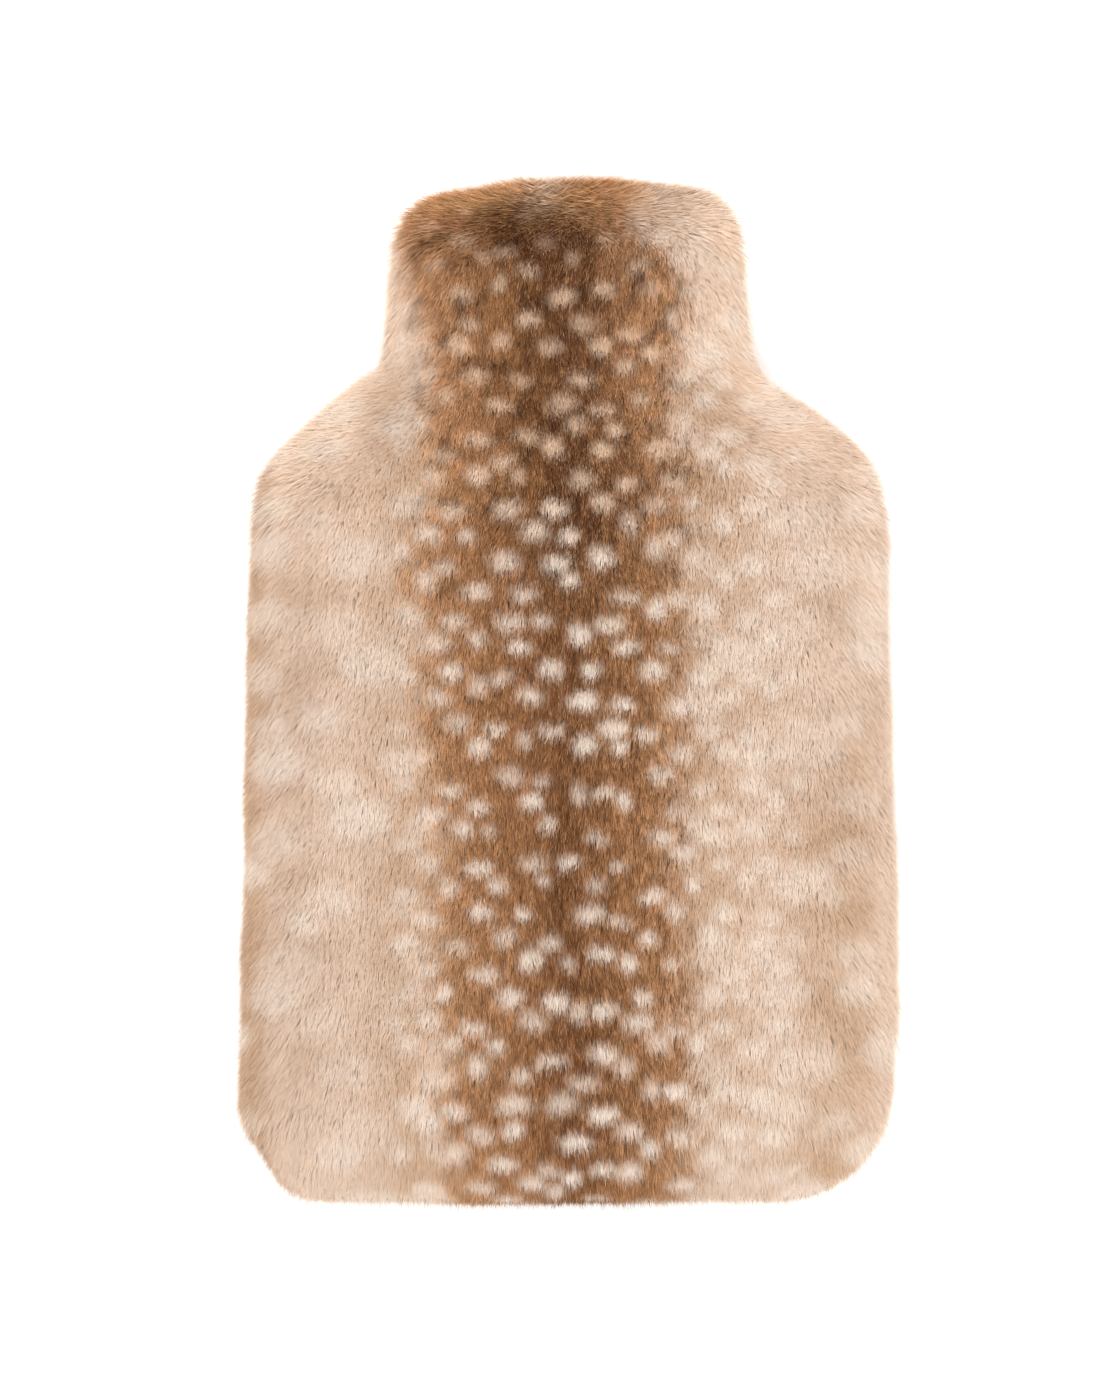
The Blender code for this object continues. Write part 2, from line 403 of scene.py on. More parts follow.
print("brushing turns by up to", round(math.degrees(TOP_TURN)), "degrees at the neck's top edge")


# %% Scatter roots over a cloth
def scatter(node, count, low_y, high_y, seed):
    """Return the roots and normals of count hairs, spread evenly over a stretch of a cloth."""
    places, normals, corners = skin_arrays[node]
    sunk = sunk_places(node)
    middle_y = places[corners, 1].mean(axis=1)
    corners = corners[(middle_y >= low_y) & (middle_y < high_y)]
    dice = np.random.default_rng(seed)
    ends = np.cumsum(triangle_areas(sunk, corners))
    picks = np.searchsorted(ends, (np.arange(count) + dice.random(count)) / count * ends[-1])
    picks = np.minimum(picks, len(corners) - 1)
    u, v = dice.random((2, count))
    flip = u + v > 1.0
    u[flip], v[flip] = 1.0 - u[flip], 1.0 - v[flip]
    weights = np.stack((1.0 - u - v, u, v), axis=1)
    roots = np.einsum("nk,nkc->nc", weights, sunk[corners[picks]])
    facing = unit(np.einsum("nk,nkc->nc", weights, normals[corners[picks]]))
    return roots, facing, dice


# %% Lean of the hairs
# how far hairs lean along the brushing and sway to the side, as a share of their height
STRAND = 0.65 * MM
STRAND_STRETCH = 0.20
TUFT = 3.0 * MM
TUFT_STRETCH = 0.6
PATCH = 17.0 * MM
WIDE_PATCH = 1.6 * PATCH
LEAN = 0.90
PATCH_LEAN, TUFT_LEAN, STRAND_LEAN = 0.08, 0.08, 0.10
TUFT_SWAY, STRAND_SWAY, PATCH_SWAY = 0.11, 0.12, 0.08
UNTIDY, UNTIDY_AT_SIDES = 0.08, 0.18
PRESSED_LEAN = 2.5
UNDERSIDE = (0.80, 0.98)


def directions(facing, x, y, strand, steep, dice):
    """Return which way each hair points: steeply out of the cloth, leaning the way it is brushed."""
    along = brushed(facing, x, y, dice)
    side = np.cross(facing, unit(along))
    tuft_side = noise(x, y * TUFT_STRETCH, TUFT, 2)
    tuft_along = noise(x, y * TUFT_STRETCH, TUFT, 3)
    untidy = UNTIDY + UNTIDY_AT_SIDES * smooth(steep, *LEANING_SIDES)
    lean = LEAN + PATCH_LEAN * noise(x, y, PATCH, 4) + TUFT_LEAN * tuft_along + STRAND_LEAN * strand
    lean += dice.normal(0.0, untidy)
    lean += PRESSED_LEAN * smooth(-facing[:, 2], *UNDERSIDE)
    sway = TUFT_SWAY * tuft_side + STRAND_SWAY * noise(x, y * STRAND_STRETCH, STRAND, 7)
    sway += PATCH_SWAY * noise(x, y, WIDE_PATCH, 5) + dice.normal(0.0, untidy)
    return unit(facing + along * lean[:, None] + side * sway[:, None])


# %% Height of the hairs
# shares of the pile's depth; hairs stray further out at the rim, and that makes the soft outline
USUAL_HEIGHT = 0.94
TUFT_HEIGHT, RANDOM_HEIGHT = 0.05, 0.05
STRAY, STRAY_MOST = 0.05, 0.30
STRAY_AT = (0.75, 0.98)
LEAST_RISE = 0.12
LEAST_HEIGHT = 0.3 * MM


def tips_of(roots, facing, way, x, y, steep, dice):
    """Return the tips of the hairs, none of them below the floor."""
    rise = np.maximum((way * facing).sum(axis=1), LEAST_RISE)
    stray = np.minimum(STRAY * dice.exponential(1.0, len(x)), STRAY_MOST) * smooth(steep, *STRAY_AT)
    share = USUAL_HEIGHT + TUFT_HEIGHT * noise(x, y, TUFT * 2, 6)
    share += dice.normal(0.0, RANDOM_HEIGHT, len(x)) + stray
    tips = roots + way * (pile_depth(facing) * share / rise)[:, None]
    tips[:, 2] = np.maximum(tips[:, 2], LEAST_HEIGHT)
    return tips


# %% Flat triangles for hairs
HAIR_WIDTH = 0.78 * MM
WIDTH_SPREAD = (0.7, 1.3)
TWIST = 0.5
BLADE_SHADING = 0.10


def hair_mesh(name, roots, tips, facing, way, dice):
    """Make a mesh of one slim triangle a hair, shaded like soft pile and not like flat blades."""
    count = len(roots)
    twist = dice.normal(0.0, TWIST, count)[:, None]
    flatways = unit(unit(np.cross(way, facing)) * np.cos(twist) + facing * np.sin(twist))
    half = flatways * (HAIR_WIDTH / 2) * dice.uniform(*WIDTH_SPREAD, count)[:, None]
    points = np.stack((roots - half, roots + half, tips), axis=1).reshape(-1, 3)

    mesh = bpy.data.meshes.new(name)
    mesh.vertices.add(3 * count)
    mesh.vertices.foreach_set("co", points.astype(np.float32).ravel())
    mesh.loops.add(3 * count)
    mesh.loops.foreach_set("vertex_index", np.arange(3 * count, dtype=np.int32))
    mesh.polygons.add(count)
    mesh.polygons.foreach_set("loop_start", np.arange(0, 3 * count, 3, dtype=np.int32))
    mesh.update(calc_edges=True)
    mesh.shade_smooth()
    blade = unit(np.cross(flatways, way))
    soft = np.repeat(unit(facing + BLADE_SHADING * blade), 3, axis=0)
    mesh.normals_split_custom_set_from_vertices(soft.tolist())
    return mesh


# %% What each hair remembers
SEEN_AT = 0.65
PRINT_BLUR = (0.5 * MM, 1.1 * MM)
STRAND_TINT, RANDOM_TINT = 0.34, 0.24
BAKE_PATCH = 0.0014
BAKE_TRIANGLE = np.array(((-1.0, -1.0), (1.0, -1.0), (0.0, 1.0)))


def store_print(mesh, roots, tips, facing, strand, dice):
    """Store each hair's place on the flat cloth in mm, its tint, and how far up it a point lies."""
    count = len(roots)
    tint = MIDDLE_TINT + STRAND_TINT * strand + dice.normal(0.0, RANDOM_TINT, count)
    seen = flat_place(roots * (1.0 - SEEN_AT) + tips * SEEN_AT, facing)
    seen += dice.normal(0.0, PRINT_BLUR, (count, 2))
    stored = np.column_stack((seen / MM, np.clip(tint, 0.0, 1.0)))
    place = mesh.attributes.new("print_place", "FLOAT_VECTOR", "POINT")
    place.data.foreach_set("vector", np.repeat(stored, 3, axis=0).astype(np.float32).ravel())
    reach = mesh.attributes.new("up_the_hair", "FLOAT", "POINT")
    reach.data.foreach_set("value", np.tile((0.0, 0.0, 1.0), count).astype(np.float32))


def store_bake_map(mesh, flat):
    """Lay each hair as a small triangle on a map, where its root lies on the flat cloth."""
    share = (flat - flat.min(axis=0)) / (flat.max(axis=0) - flat.min(axis=0))
    middle = BAKE_PATCH + share * (1.0 - 2.0 * BAKE_PATCH)
    corners = middle[:, None, :] + BAKE_PATCH * BAKE_TRIANGLE
    bake_map = mesh.uv_layers.new(name="OFBake")
    bake_map.uv.foreach_set("vector", corners.astype(np.float32).ravel())


# %% Grow one piece of pile
def grow(name, node, count, low_y, high_y, seed):
    """Make one piece of pile: count tapering hairs on a stretch of a cloth."""
    roots, facing, dice = scatter(node, count, low_y, high_y, seed)
    flat = flat_place(roots, facing)
    x, y = flat[:, 0], flat[:, 1]
    strand = noise(x, y * STRAND_STRETCH, STRAND, 1)
    steep = np.linalg.norm(facing[:, :2], axis=1)
    way = directions(facing, x, y, strand, steep, dice)
    tips = tips_of(roots, facing, way, x, y, steep, dice)
    mesh = hair_mesh(name, roots, tips, facing, way, dice)
    store_print(mesh, roots, tips, facing, strand, dice)
    store_bake_map(mesh, flat)

    pile = bpy.data.objects.new(name, mesh)
    bpy.context.scene.collection.objects.link(pile)
    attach(pile, ROOT)
    return pile


# %% [markdown]
# ## Growing the pile
#
# A real pile has far more hairs than a computer likes. Seen from a step away ten to the square millimetre
# are enough on the front, a little wider than real ones, and two or three on the back, where they lie flat.
# Each is a single slim triangle. Hair curves would be easier to comb by hand, but a plain mesh can be
# exported. Each piece stays under 200,000 triangles, so the front is grown in four stretches.

# %% Grow the front and the back
FRONT_STRETCHES = (
    # name, from y in mm, to y in mm
    ("pile_foot", -190.0, -92.0),
    ("pile_middle", -92.0, -8.0),
    ("pile_shoulders", -8.0, 78.0),
    ("pile_neck", 78.0, 190.0),
)
# hairs in each stretch of the front, and on the back's two panels
HAIRS_FRONT = 182000
HAIRS_UPPER = 60000
HAIRS_LOWER = 110000
FRONT_SEED, UPPER_SEED, LOWER_SEED = 100, 201, 202
# limits in m that no panel reaches
WHOLE_PANEL = (-1.0, 1.0)

front_pile = []
for number, (name, low_y, high_y) in enumerate(FRONT_STRETCHES):
    seed = FRONT_SEED + number
    front_pile.append(grow(name, "front_panel", HAIRS_FRONT, low_y * MM, high_y * MM, seed))
    print(name, "grown")
upper_pile = grow("pile_back_upper", "back_upper", HAIRS_UPPER, *WHOLE_PANEL, UPPER_SEED)
lower_pile = grow("pile_back_lower", "back_lower", HAIRS_LOWER, *WHOLE_PANEL, LOWER_SEED)
hairs = len(FRONT_STRETCHES) * HAIRS_FRONT + HAIRS_UPPER + HAIRS_LOWER
cloth_area = sum(area_of(node) for node in skin_arrays)
print("hairs:", hairs, "or", round(hairs / (cloth_area / MM**2), 1), "to the square mm")

# %% [markdown]
# ## The print and the finish
#
# Fawn pile is printed: the colour changes along the cloth and up each hair. A painted picture could do it,
# but nodes stay sharp at any distance and can be changed. They first move the stored place about with
# noise, so that every edge is ragged, then look up a band of browns across the cover, and lay staggered
# rows of cream spots over it. Beside the band the same spots are half lost in the pale sides.


# %% Small helpers for nodes
def srgb(*levels):
    """Turn picture values from 0 to 255 into linear ones."""
    linear = []
    for level in levels:
        c = level / 255.0
        linear.append(c / 12.92 if c <= 0.04045 else ((c + 0.055) / 1.055) ** 2.4)
    return (*linear, 1.0)


class Nodes:
    """A short way to write down a node tree."""

    def __init__(self, tree):
        self.tree = tree

    def add(self, kind, inputs=(), **settings):
        node = self.tree.nodes.new(kind)
        for key, value in settings.items():
            setattr(node, key, value)
        for key, value in dict(inputs).items():
            self.feed(node.inputs[key], value)
        return node

    def feed(self, socket, value):
        if isinstance(value, bpy.types.NodeSocket):
            self.tree.links.new(value, socket)
        else:
            socket.default_value = value

    def maths(self, operation, a, b=0.0, c=0.0, clamp=False):
        node = self.add("ShaderNodeMath", {0: a, 1: b, 2: c}, operation=operation, use_clamp=clamp)
        return node.outputs[0]

    def times(self, a, b, clamp=False):
        return self.maths("MULTIPLY", a, b, clamp=clamp)

    def times_add(self, a, b, c, clamp=False):
        return self.maths("MULTIPLY_ADD", a, b, c, clamp=clamp)

    def away_from(self, value, middle):
        """Return how far value is from middle, to either side."""
        return self.maths("ABSOLUTE", self.maths("SUBTRACT", value, middle))

    def vector(self, operation, a, b, c=(0.0, 0.0, 0.0)):
        node = self.add("ShaderNodeVectorMath", {0: a, 1: b, 2: c}, operation=operation)
        return node.outputs[0]

    def parts(self, vector):
        return self.add("ShaderNodeSeparateXYZ", {0: vector}).outputs

    def noise(self, vector, scale, detail=2.0):
        node = self.add("ShaderNodeTexNoise", {"Vector": vector, "Scale": scale, "Detail": detail})
        return node.outputs["Factor"] if "Factor" in node.outputs else node.outputs["Fac"]

    def step(self, value, low, high):
        """Go smoothly from 0 to 1 as value goes from low to high."""
        node = self.add(
            "ShaderNodeMapRange",
            {"Value": value, "From Min": low, "From Max": high},
            interpolation_type="SMOOTHSTEP",
        )
        return node.outputs["Result"]

    def mix(self, factor, a, b):
        node = self.add("ShaderNodeMix", data_type="RGBA")
        self.feed(node.inputs[0], factor)
        self.feed(node.inputs[6], a)
        self.feed(node.inputs[7], b)
        return node.outputs[2]

    def ramp(self, value, stops):
        node = self.add("ShaderNodeValToRGB", {"Fac": value})
        ramp = node.color_ramp
        while len(ramp.elements) < len(stops):
            ramp.elements.new(0.5)
        for element, (place, colour) in zip(ramp.elements, stops):
            element.position = place
            element.color = colour
        return node.outputs["Color"]

    def curve(self, value, points):
        node = self.add("ShaderNodeFloatCurve", {"Value": value})
        line = node.mapping.curves[0]
        line.points[0].location = points[0]
        line.points[1].location = points[-1]
        for place in points[1:-1]:
            line.points.new(*place)
        node.mapping.update()
        return node.outputs["Value"]


# %% The print's colours
PALE = srgb(233, 210, 190)
PALE_NECK = srgb(242, 219, 198)
# tan of the print, and also the colour of the painted shade at the rims of the sides
TAN_AND_SHADE = srgb(212, 180, 150)
WHITISH = srgb(244, 231, 218)
CREAM = srgb(236, 213, 191)
SPOT_IN_NECK = srgb(234, 204, 176)
RIM = srgb(228, 178, 126)
GOLDEN = srgb(230, 188, 146)
STREAK = srgb(200, 148, 98)
DARK_PATCH = srgb(84, 46, 18)
# place across the band, colour in the neck, colour in the body
BAND_COLOURS = (
    (0.00, srgb(222, 186, 150), srgb(220, 188, 158)),
    (0.08, srgb(202, 154, 111), srgb(192, 147, 108)),
    (0.22, srgb(180, 130, 88), srgb(173, 124, 82)),
    (0.38, srgb(142, 93, 50), srgb(158, 108, 67)),
    (0.52, srgb(104, 58, 20), srgb(126, 78, 40)),
    (0.66, srgb(130, 83, 46), srgb(150, 102, 62)),
    (0.80, srgb(176, 128, 88), srgb(168, 120, 79)),
    (0.93, srgb(194, 146, 104), srgb(191, 145, 106)),
    (1.00, srgb(222, 186, 150), srgb(220, 188, 158)),
)
print("colours across the band:", len(BAND_COLOURS))

# %% Where the band and its spots lie
LENGTH_MM = 360.0
BAND_REACH_MM = 80.0
LARGEST_SPOTS = 2.0
# up from the foot as a share of the length, left and right edge of the band in mm,
# size of the spots, strength of the spots
BAND_ROWS = (
    (0.00, -51.0, 48.0, 1.10, 1.00),
    (0.14, -51.0, 50.0, 1.12, 1.00),
    (0.25, -54.0, 48.0, 1.00, 0.95),
    (0.34, -52.0, 47.0, 0.94, 0.90),
    (0.45, -58.0, 49.0, 0.96, 0.95),
    (0.55, -57.0, 48.0, 1.05, 1.00),
    (0.63, -61.0, 48.0, 1.10, 1.00),
    (0.70, -56.0, 50.0, 1.00, 1.00),
    (0.77, -56.0, 44.0, 0.96, 0.98),
    (0.85, -59.0, 47.0, 0.90, 0.92),
    (0.90, -63.0, 47.0, 0.82, 0.72),
    (0.95, -70.0, 31.0, 0.76, 0.45),
    (1.00, -76.0, 34.0, 0.70, 0.15),
)


def by_length(nodes, share, column, low, high):
    """Read a column of the table of rows as a smooth curve along the cover."""
    points = [(row[0], (row[column] - low) / (high - low)) for row in BAND_ROWS]
    return nodes.times_add(nodes.curve(share, points), high - low, low)


# %% Places that the print is drawn from
# bumps of noise to the mm, how far they move the print's edges in mm, and how far single hairs stray
WIDE_BUMPS, FINE_BUMPS = 0.045, 0.2
WIDE_WANDER, FINE_WANDER = 18.0, 15.0
HAIR_STRAY = 7.0


def stretched(nodes, flat, across, along):
    return nodes.vector("MULTIPLY", flat, (across, along, 1.0))


def places_on_cloth(nodes):
    """Read what a hair remembers, and work out the places from which the print is drawn."""
    stored = nodes.add("ShaderNodeAttribute", attribute_name="print_place").outputs["Vector"]
    x, y, tint = nodes.parts(stored)
    flat = nodes.add("ShaderNodeCombineXYZ", {0: x, 1: y}).outputs[0]
    wide = nodes.maths("SUBTRACT", nodes.noise(flat, WIDE_BUMPS), 0.5)
    fine = nodes.maths("SUBTRACT", nodes.noise(flat, FINE_BUMPS), 0.5)
    wander = nodes.times_add(wide, WIDE_WANDER, nodes.times(fine, FINE_WANDER))
    wandered = nodes.maths("ADD", x, wander)
    loose = nodes.maths("SUBTRACT", tint, MIDDLE_TINT)
    moved = nodes.times_add(loose, HAIR_STRAY, wandered)
    share = nodes.times_add(y, 1.0 / LENGTH_MM, 0.5, clamp=True)
    return SimpleNamespace(
        x=x, tint=tint, flat=flat, wide=wide, wandered=wandered, moved=moved, share=share
    )


# %% The brown band
# shares of the length between which the neck's colours take over, and how much that line waves
NECK_FROM = (0.55, 0.69)
NECK_WAVE = 0.12
# shares of the band's width over which its edges fade
LEFT_FADE, RIGHT_FADE = (-0.02, 0.14), (1.02, 0.84)


def brown_band(nodes, cloth):
    """Return the band's colour and how far inside the band a place is."""
    left = by_length(nodes, cloth.share, 1, -BAND_REACH_MM, BAND_REACH_MM)
    right = by_length(nodes, cloth.share, 2, -BAND_REACH_MM, BAND_REACH_MM)
    width = nodes.maths("SUBTRACT", right, left)
    across = nodes.maths("DIVIDE", nodes.maths("SUBTRACT", cloth.moved, left), width)
    neck = nodes.ramp(across, [(place, colour) for place, colour, _ in BAND_COLOURS])
    body = nodes.ramp(across, [(place, colour) for place, _, colour in BAND_COLOURS])
    up = nodes.times_add(cloth.wide, NECK_WAVE, cloth.share)
    band = nodes.mix(nodes.step(up, *NECK_FROM), body, neck)
    inside = nodes.times(nodes.step(across, *LEFT_FADE), nodes.step(across, *RIGHT_FADE))
    return band, inside


# %% Streaks, clouds and the neck's top rim
# pairs named FROM hold the noise, or the share of the length, at which a change begins and is complete
STREAK_STRETCH = (0.7, 0.06)
STREAKS_FROM = (0.50, 0.72)
STREAK_STRENGTH = 0.30
CLOUD_BUMPS = 0.10
CLOUDS_FROM = (0.50, 0.66)
CLOUDY_NECK_FROM = (0.56, 0.66)
CLOUDS_IN_BODY, MORE_CLOUDS_IN_NECK = 0.12, 0.50
RIM_FROM = (0.945, 0.995)
RIM_WAVE = 0.05
RIM_STRENGTH = 0.8
# the pale tuft in the middle of the neck's top edge
PALE_TUFT_X_MM, PALE_TUFT_REACH_MM = -9.0, 9.0
PALE_TUFT_FROM = (0.955, 0.985)
PALE_TUFT_STRENGTH = 0.8


def weathered(nodes, cloth, band):
    """Lay light streaks and dark clouds over the band, and pale its end at the neck's top."""
    streaks = nodes.noise(stretched(nodes, cloth.flat, *STREAK_STRETCH), 1.0, 3.0)
    streaky = nodes.mix(STREAK_STRENGTH, band, STREAK)
    band = nodes.mix(nodes.step(streaks, *STREAKS_FROM), band, streaky)
    clouds = nodes.step(nodes.noise(cloth.flat, CLOUD_BUMPS), *CLOUDS_FROM)
    in_neck = nodes.step(cloth.share, *CLOUDY_NECK_FROM)
    clouds = nodes.times(clouds, nodes.times_add(in_neck, MORE_CLOUDS_IN_NECK, CLOUDS_IN_BODY))
    band = nodes.mix(clouds, band, DARK_PATCH)
    up = nodes.times_add(cloth.wide, RIM_WAVE, cloth.share)
    band = nodes.mix(nodes.times(nodes.step(up, *RIM_FROM), RIM_STRENGTH), band, RIM)
    tuft = nodes.step(nodes.away_from(cloth.moved, PALE_TUFT_X_MM), PALE_TUFT_REACH_MM, 0.0)
    tuft = nodes.times(tuft, nodes.step(cloth.share, *PALE_TUFT_FROM))
    return nodes.mix(nodes.times(tuft, PALE_TUFT_STRENGTH), band, CREAM)


# %% Cream spots
# spacing of the slanting lattice, its squeeze across and along, and how far spots stray from it
SPOT_SPACING_MM = 12.2
SPOT_SQUEEZE = (1.00, 0.92)
SPOT_RANDOMNESS = 0.60
SLANT = math.pi / 4
# half width and half height of a spot in mm: least, and what chance adds; then the same for its strength
SPOT_WIDTH = (3.7, 3.6)
SPOT_HEIGHT = (2.4, 1.7)
SPOT_STRENGTH = (0.75, 0.45)
SPOT_FADE = (1.35, 0.10)
BEND_BUMPS, BEND_MM = 0.11, 4.5


def bent_places(nodes, flat):
    """Bend the lattice of spots a little, as cloth that was never laid quite flat."""
    warp = nodes.add("ShaderNodeTexNoise", {"Vector": flat, "Scale": BEND_BUMPS, "Detail": 1.0})
    return nodes.vector("MULTIPLY_ADD", warp.outputs["Color"], (BEND_MM, BEND_MM, 0.0), flat)


def turned(nodes, vector, angle):
    return nodes.add("ShaderNodeVectorRotate", {0: vector, "Angle": angle}).outputs[0]


def staggered_spots(nodes, vector, size):
    """Return soft spots in staggered rows, each of its own width, height and strength."""
    slanting = turned(nodes, stretched(nodes, vector, *SPOT_SQUEEZE), SLANT)
    found = nodes.add(
        "ShaderNodeTexVoronoi",
        {"Vector": slanting, "Scale": 1.0 / SPOT_SPACING_MM, "Randomness": SPOT_RANDOMNESS},
        voronoi_dimensions="2D",
    )
    offset = nodes.vector("SUBTRACT", slanting, found.outputs["Position"])
    across, along, _ = nodes.parts(turned(nodes, offset, -SLANT))
    first, second, third = nodes.parts(found.outputs["Color"])
    across = nodes.maths("DIVIDE", across, nodes.times_add(first, SPOT_WIDTH[1], SPOT_WIDTH[0]))
    along = nodes.maths("DIVIDE", along, nodes.times_add(second, SPOT_HEIGHT[1], SPOT_HEIGHT[0]))
    away = nodes.maths("ADD", nodes.maths("POWER", across, 2.0), nodes.maths("POWER", along, 2.0))
    away = nodes.maths("DIVIDE", nodes.maths("SQRT", away), size)
    spot = nodes.step(away, *SPOT_FADE)
    return nodes.times(spot, nodes.times_add(third, SPOT_STRENGTH[1], SPOT_STRENGTH[0]), clamp=True)


# %% Tan places of the sides, with painted shade at their rims
# limits are places across the cloth in mm, or shares of the length from the foot up
PATCH_STRETCH, PATCH_BUMPS = (0.5, 1.0), 0.05
PATCHES_FROM = (0.42, 0.70)
PATCHES_BELOW = (0.80, 0.68)
PATCH_STRENGTH = 0.45
# the left rim is painted tan as painted shade, where the side turns down away from the top
SHADED_LEFT_RIM = (-98.0, -114.0)
# a stripe of painted shade low on the right, where the top bends down into the side
SHADE_STRIPE_LEFT, SHADE_STRIPE_RIGHT = (58.0, 88.0), (114.0, 100.0)
SHADE_STRIPE_BELOW = (0.55, 0.30)
SHADE_STRIPE_STRENGTH = 0.6
BAND_MIDDLE = -4.0
GOLDEN_BESIDE = (76.0, 52.0)
GOLDEN_BELOW = (0.84, 0.78)
GOLDEN_STRENGTH = 0.85
# the tan and the painted shade fade out before the right rim, which stays pale
PALE_RIGHT_RIM = (124.0, 98.0)


def tan_and_shade_places(nodes, cloth):
    """Return how tan a place of the sides is: tan patches and tan next to the band, and painted shade at
    the left rim and in a stripe on the right.
    """
    patches = nodes.noise(stretched(nodes, cloth.flat, *PATCH_STRETCH), PATCH_BUMPS)
    low_enough = nodes.times(nodes.step(cloth.share, *PATCHES_BELOW), PATCH_STRENGTH)
    tan_and_shade = nodes.times(nodes.step(patches, *PATCHES_FROM), low_enough)
    # painted shade along the left rim
    tan_and_shade = nodes.maths("MAXIMUM", tan_and_shade, nodes.step(cloth.x, *SHADED_LEFT_RIM))
    # a stripe of painted shade near the right rim
    shade_stripe = nodes.times(nodes.step(cloth.x, *SHADE_STRIPE_LEFT), nodes.step(cloth.x, *SHADE_STRIPE_RIGHT))
    shade_stripe = nodes.times(shade_stripe, nodes.step(cloth.share, *SHADE_STRIPE_BELOW))
    tan_and_shade = nodes.times_add(shade_stripe, SHADE_STRIPE_STRENGTH, tan_and_shade, clamp=True)
    beside = nodes.step(nodes.away_from(cloth.moved, BAND_MIDDLE), *GOLDEN_BESIDE)
    beside = nodes.times(beside, nodes.step(cloth.share, *GOLDEN_BELOW))
    tan_and_shade = nodes.maths("MAXIMUM", tan_and_shade, nodes.times(beside, GOLDEN_STRENGTH))
    return nodes.times(tan_and_shade, nodes.step(cloth.x, *PALE_RIGHT_RIM))


# %% Whitish marks of the sides
MARK_STRETCH, MARK_SPACING_MM, MARK_RANDOMNESS = (0.62, 1.0), 19.0, 0.9
# size and strength: least, and what chance adds
MARK_SIZE = (0.20, 0.22)
MARK_STRENGTH = (0.4, 0.5)
MARK_EDGE = (-0.14, 0.16)
# half-lost spots reach further out on the right, so their middle lies to the right of the band's
HALF_LOST_MIDDLE = 10.0
HALF_LOST_BESIDE = (82.0, 62.0)
HALF_LOST_SPREAD = 0.55


def whitish_marks(nodes, cloth, bent, spot):
    """Return soft blobs all over the sides, and half-lost spots beside the band."""
    found = nodes.add(
        "ShaderNodeTexVoronoi",
        {
            "Vector": stretched(nodes, bent, *MARK_STRETCH),
            "Scale": 1.0 / MARK_SPACING_MM,
            "Randomness": MARK_RANDOMNESS,
        },
        voronoi_dimensions="2D",
    )
    first, second, _ = nodes.parts(found.outputs["Color"])
    within = nodes.times_add(first, MARK_SIZE[1], MARK_SIZE[0])
    blob = nodes.step(nodes.maths("SUBTRACT", within, found.outputs["Distance"]), *MARK_EDGE)
    blob = nodes.times(blob, nodes.times_add(second, MARK_STRENGTH[1], MARK_STRENGTH[0]))
    beside = nodes.step(nodes.away_from(cloth.wandered, HALF_LOST_MIDDLE), *HALF_LOST_BESIDE)
    half_lost = nodes.times(beside, nodes.maths("POWER", spot, HALF_LOST_SPREAD))
    return nodes.maths("MAXIMUM", blob, half_lost)


# %% The whole print
# the pale gets lighter towards the neck, and on the left shoulder that begins lower down
LIGHTER_UP = (0.66, 0.82)
LEFT_SHOULDER = (20.0, -20.0)
LEFT_SHOULDER_LOWER = 0.12
MARKS_STRENGTH = 0.85
NECK_SPOTS_FROM = (0.60, 0.74)


def fawn_print(nodes):
    """Return sockets of the print's colour, of the hair's tint and of how brown the place is."""
    cloth = places_on_cloth(nodes)
    band, inside = brown_band(nodes, cloth)
    band = weathered(nodes, cloth, band)
    bent = bent_places(nodes, cloth.flat)
    spot = staggered_spots(nodes, bent, by_length(nodes, cloth.share, 3, 0.0, LARGEST_SPOTS))
    spot = nodes.times(spot, by_length(nodes, cloth.share, 4, 0.0, 1.0))

    up = nodes.times_add(nodes.step(cloth.x, *LEFT_SHOULDER), LEFT_SHOULDER_LOWER, cloth.share)
    pale = nodes.mix(nodes.step(up, *LIGHTER_UP), PALE, PALE_NECK)
    # tan patches of the print, and painted shade at the rims of the sides
    sides = nodes.mix(tan_and_shade_places(nodes, cloth), pale, TAN_AND_SHADE)
    marks = whitish_marks(nodes, cloth, bent, spot)
    sides = nodes.mix(nodes.times(marks, MARKS_STRENGTH), sides, WHITISH)

    in_neck = nodes.step(cloth.share, *NECK_SPOTS_FROM)
    spot_colour = nodes.mix(in_neck, nodes.mix(spot, CREAM, WHITISH), SPOT_IN_NECK)
    colour = nodes.mix(inside, sides, nodes.mix(spot, band, spot_colour))
    brown = nodes.times(inside, nodes.maths("SUBTRACT", 1.0, spot))
    return colour, cloth.tint, brown


# %% [markdown]
# ## The hairs' finish
#
# A hair is darker at its root, partly by its dye and partly as painted shade of the gaps between the hairs,
# and no two have the same tint. In the brown band a few strands are golden, and that gives the band its
# grain. Pale hairs differ less. Light also shines through thin hairs, so a quarter of the shader is
# translucent, and the pale fur glows instead of looking like plaster.


# %% The pile's material
# for the palest and for the brownest hairs
# the root is darker partly by its dye and partly as painted shade of the gaps between hairs, the brown
# hairs most
ROOT_SHADE = (0.94, 0.54)
TIP_GAIN = (0.06, 0.54)
TINT_SPREAD = (0.08, 0.84)
WASHED_OUT = (0.5, 0.0)
# tints from which strands get golden, and how golden
GOLDEN_STRANDS_FROM = (0.60, 1.0)
GOLDEN_STRANDS = 0.28
# least, and what the tint adds
ROUGHNESS = (0.65, 0.2)
LIGHT_THROUGH = 0.25


def scaled(nodes, colour, factor):
    return nodes.add("ShaderNodeVectorMath", {0: colour, "Scale": factor}, operation="SCALE").outputs[0]


def by_brown(nodes, brown, pair):
    """Go from the first number of a pair to the second as the hair gets brown."""
    return nodes.times_add(brown, pair[1] - pair[0], pair[0])


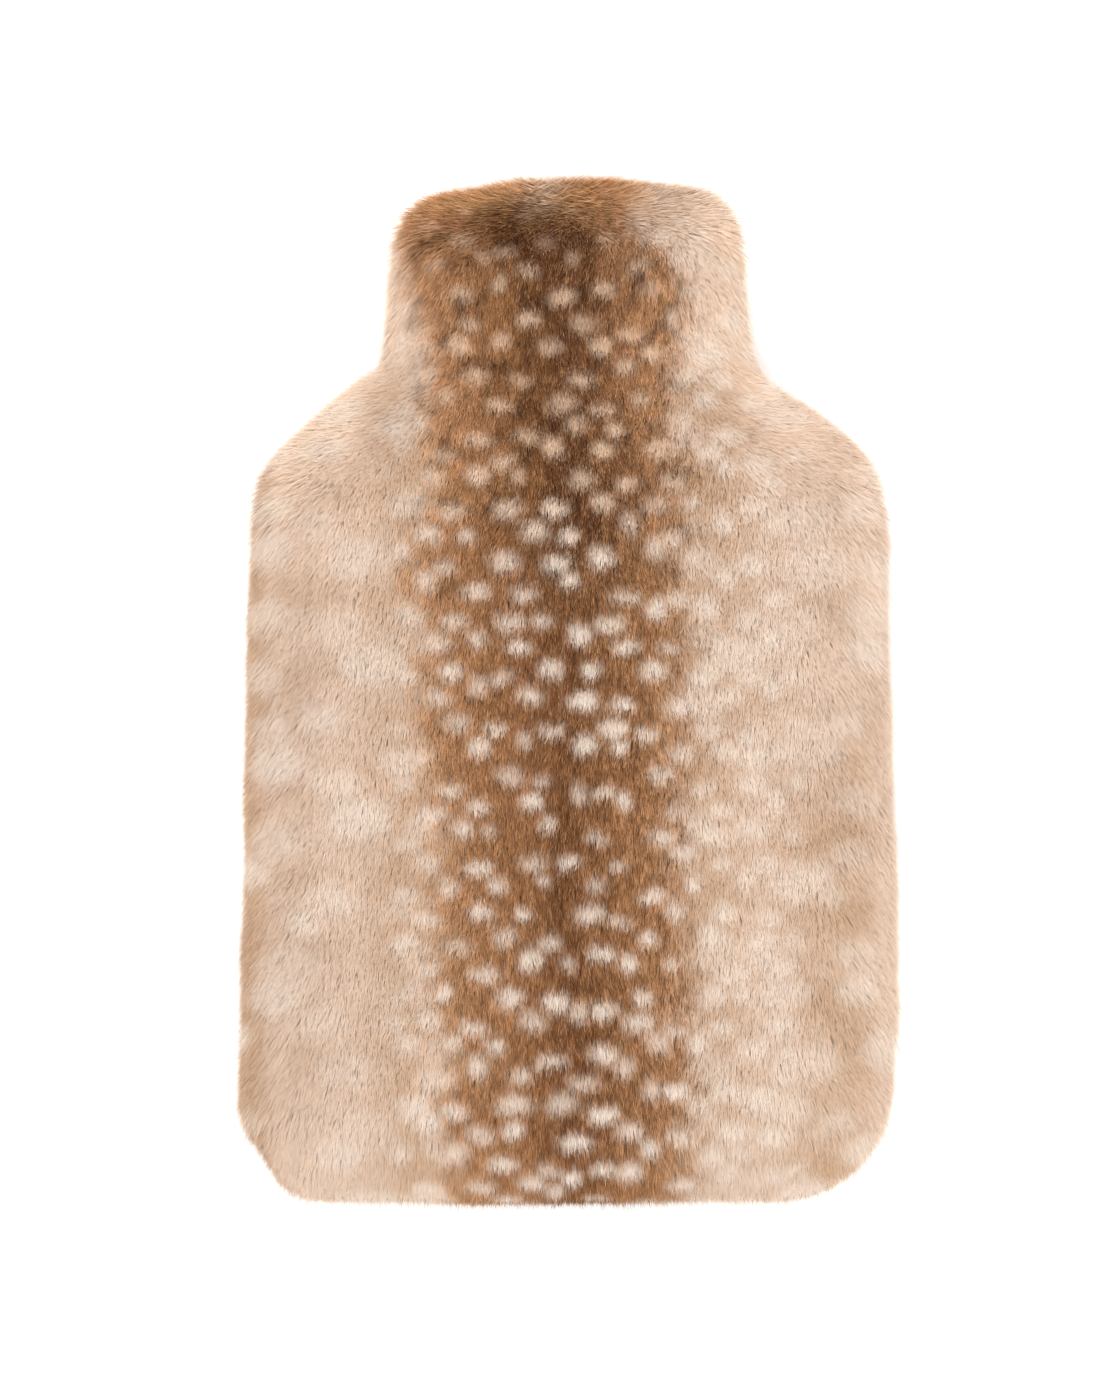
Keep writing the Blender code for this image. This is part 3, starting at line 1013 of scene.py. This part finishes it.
def hair_colour(nodes, colour, tint, brown):
    """Return a hair's colour: darker at its root by its dye and by painted shade between the hairs, of its
    own tint, and now and then golden.
    """
    height = nodes.add("ShaderNodeAttribute", attribute_name="up_the_hair").outputs["Fac"]
    rooted = by_brown(nodes, brown, ROOT_SHADE)
    shade = nodes.times_add(height, by_brown(nodes, brown, TIP_GAIN), rooted)
    loose = nodes.maths("SUBTRACT", tint, MIDDLE_TINT)
    vary = nodes.times_add(loose, by_brown(nodes, brown, TINT_SPREAD), 1.0)
    light = nodes.times(nodes.step(tint, *GOLDEN_STRANDS_FROM), nodes.times(brown, GOLDEN_STRANDS))
    return scaled(nodes, nodes.mix(light, colour, GOLDEN), nodes.times(shade, vary))


def pile_material(name):
    material, tree, shader = new_material(name)
    nodes = Nodes(tree)
    colour, tint, brown = fawn_print(nodes)
    hair = hair_colour(nodes, colour, tint, brown)
    nodes.feed(shader.inputs["Base Color"], hair)
    nodes.feed(shader.inputs["Roughness"], nodes.times_add(tint, ROUGHNESS[1], ROUGHNESS[0]))
    shader.inputs["Specular IOR Level"].default_value = 0.25
    shader.inputs["Sheen Weight"].default_value = 0.08
    shader.inputs["Sheen Roughness"].default_value = 0.4
    washed = nodes.mix(by_brown(nodes, brown, WASHED_OUT), hair, WHITISH)
    through = nodes.add("ShaderNodeBsdfTranslucent", {"Color": washed})
    both = nodes.add("ShaderNodeMixShader", {0: LIGHT_THROUGH, 1: shader.outputs[0], 2: through.outputs[0]})
    nodes.feed(tree.nodes["Material Output"].inputs["Surface"], both.outputs[0])
    return material


pile_look = pile_material("fawn pile")
for piece in (*front_pile, upper_pile, lower_pile):
    piece.data.materials.append(pile_look)
print("nodes in the pile's material:", len(pile_look.node_tree.nodes))


# %% The backing's materials
KNIT_BUMPS = 900.0
KNIT_SHADE = 0.12
# how bright the printed backing is under the palest and under the brownest hairs: painted shade in the gaps
# between the hairs
BACKING_SHADE = (0.92, 0.50)
KNIT_DARK, KNIT_LIGHT = srgb(206, 180, 156), srgb(232, 212, 192)


def backing_material(name, printed):
    """Knit with a fine bump: printed and darkened as painted shade where the hairs leave it, plain on the
    inside.
    """
    material, tree, shader = new_material(name)
    nodes = Nodes(tree)
    place = nodes.add("ShaderNodeNewGeometry").outputs["Position"]
    knit = nodes.noise(place, KNIT_BUMPS)
    if printed:
        colour, _, brown = fawn_print(nodes)
        # the print darkened as painted shade between the hairs, most under the brown band
        shade = by_brown(nodes, brown, BACKING_SHADE)
        colour = scaled(nodes, colour, nodes.times_add(knit, KNIT_SHADE, shade))
    else:
        colour = nodes.mix(knit, KNIT_DARK, KNIT_LIGHT)
    nodes.feed(shader.inputs["Base Color"], colour)
    shader.inputs["Roughness"].default_value = 0.9
    bump = nodes.add("ShaderNodeBump", {"Height": knit, "Strength": 0.4, "Distance": 0.4 * MM})
    nodes.feed(shader.inputs["Normal"], bump.outputs["Normal"])
    return material


# the printed backing carries the print darkened as painted shade between the hairs
printed_shaded_backing = backing_material("printed backing", True)
plain_backing = backing_material("plain backing", False)
for piece in cloths:
    piece.data.materials.append(printed_shaded_backing)
    piece.data.materials.append(plain_backing)
print("materials:", pile_look.name, printed_shaded_backing.name, plain_backing.name)
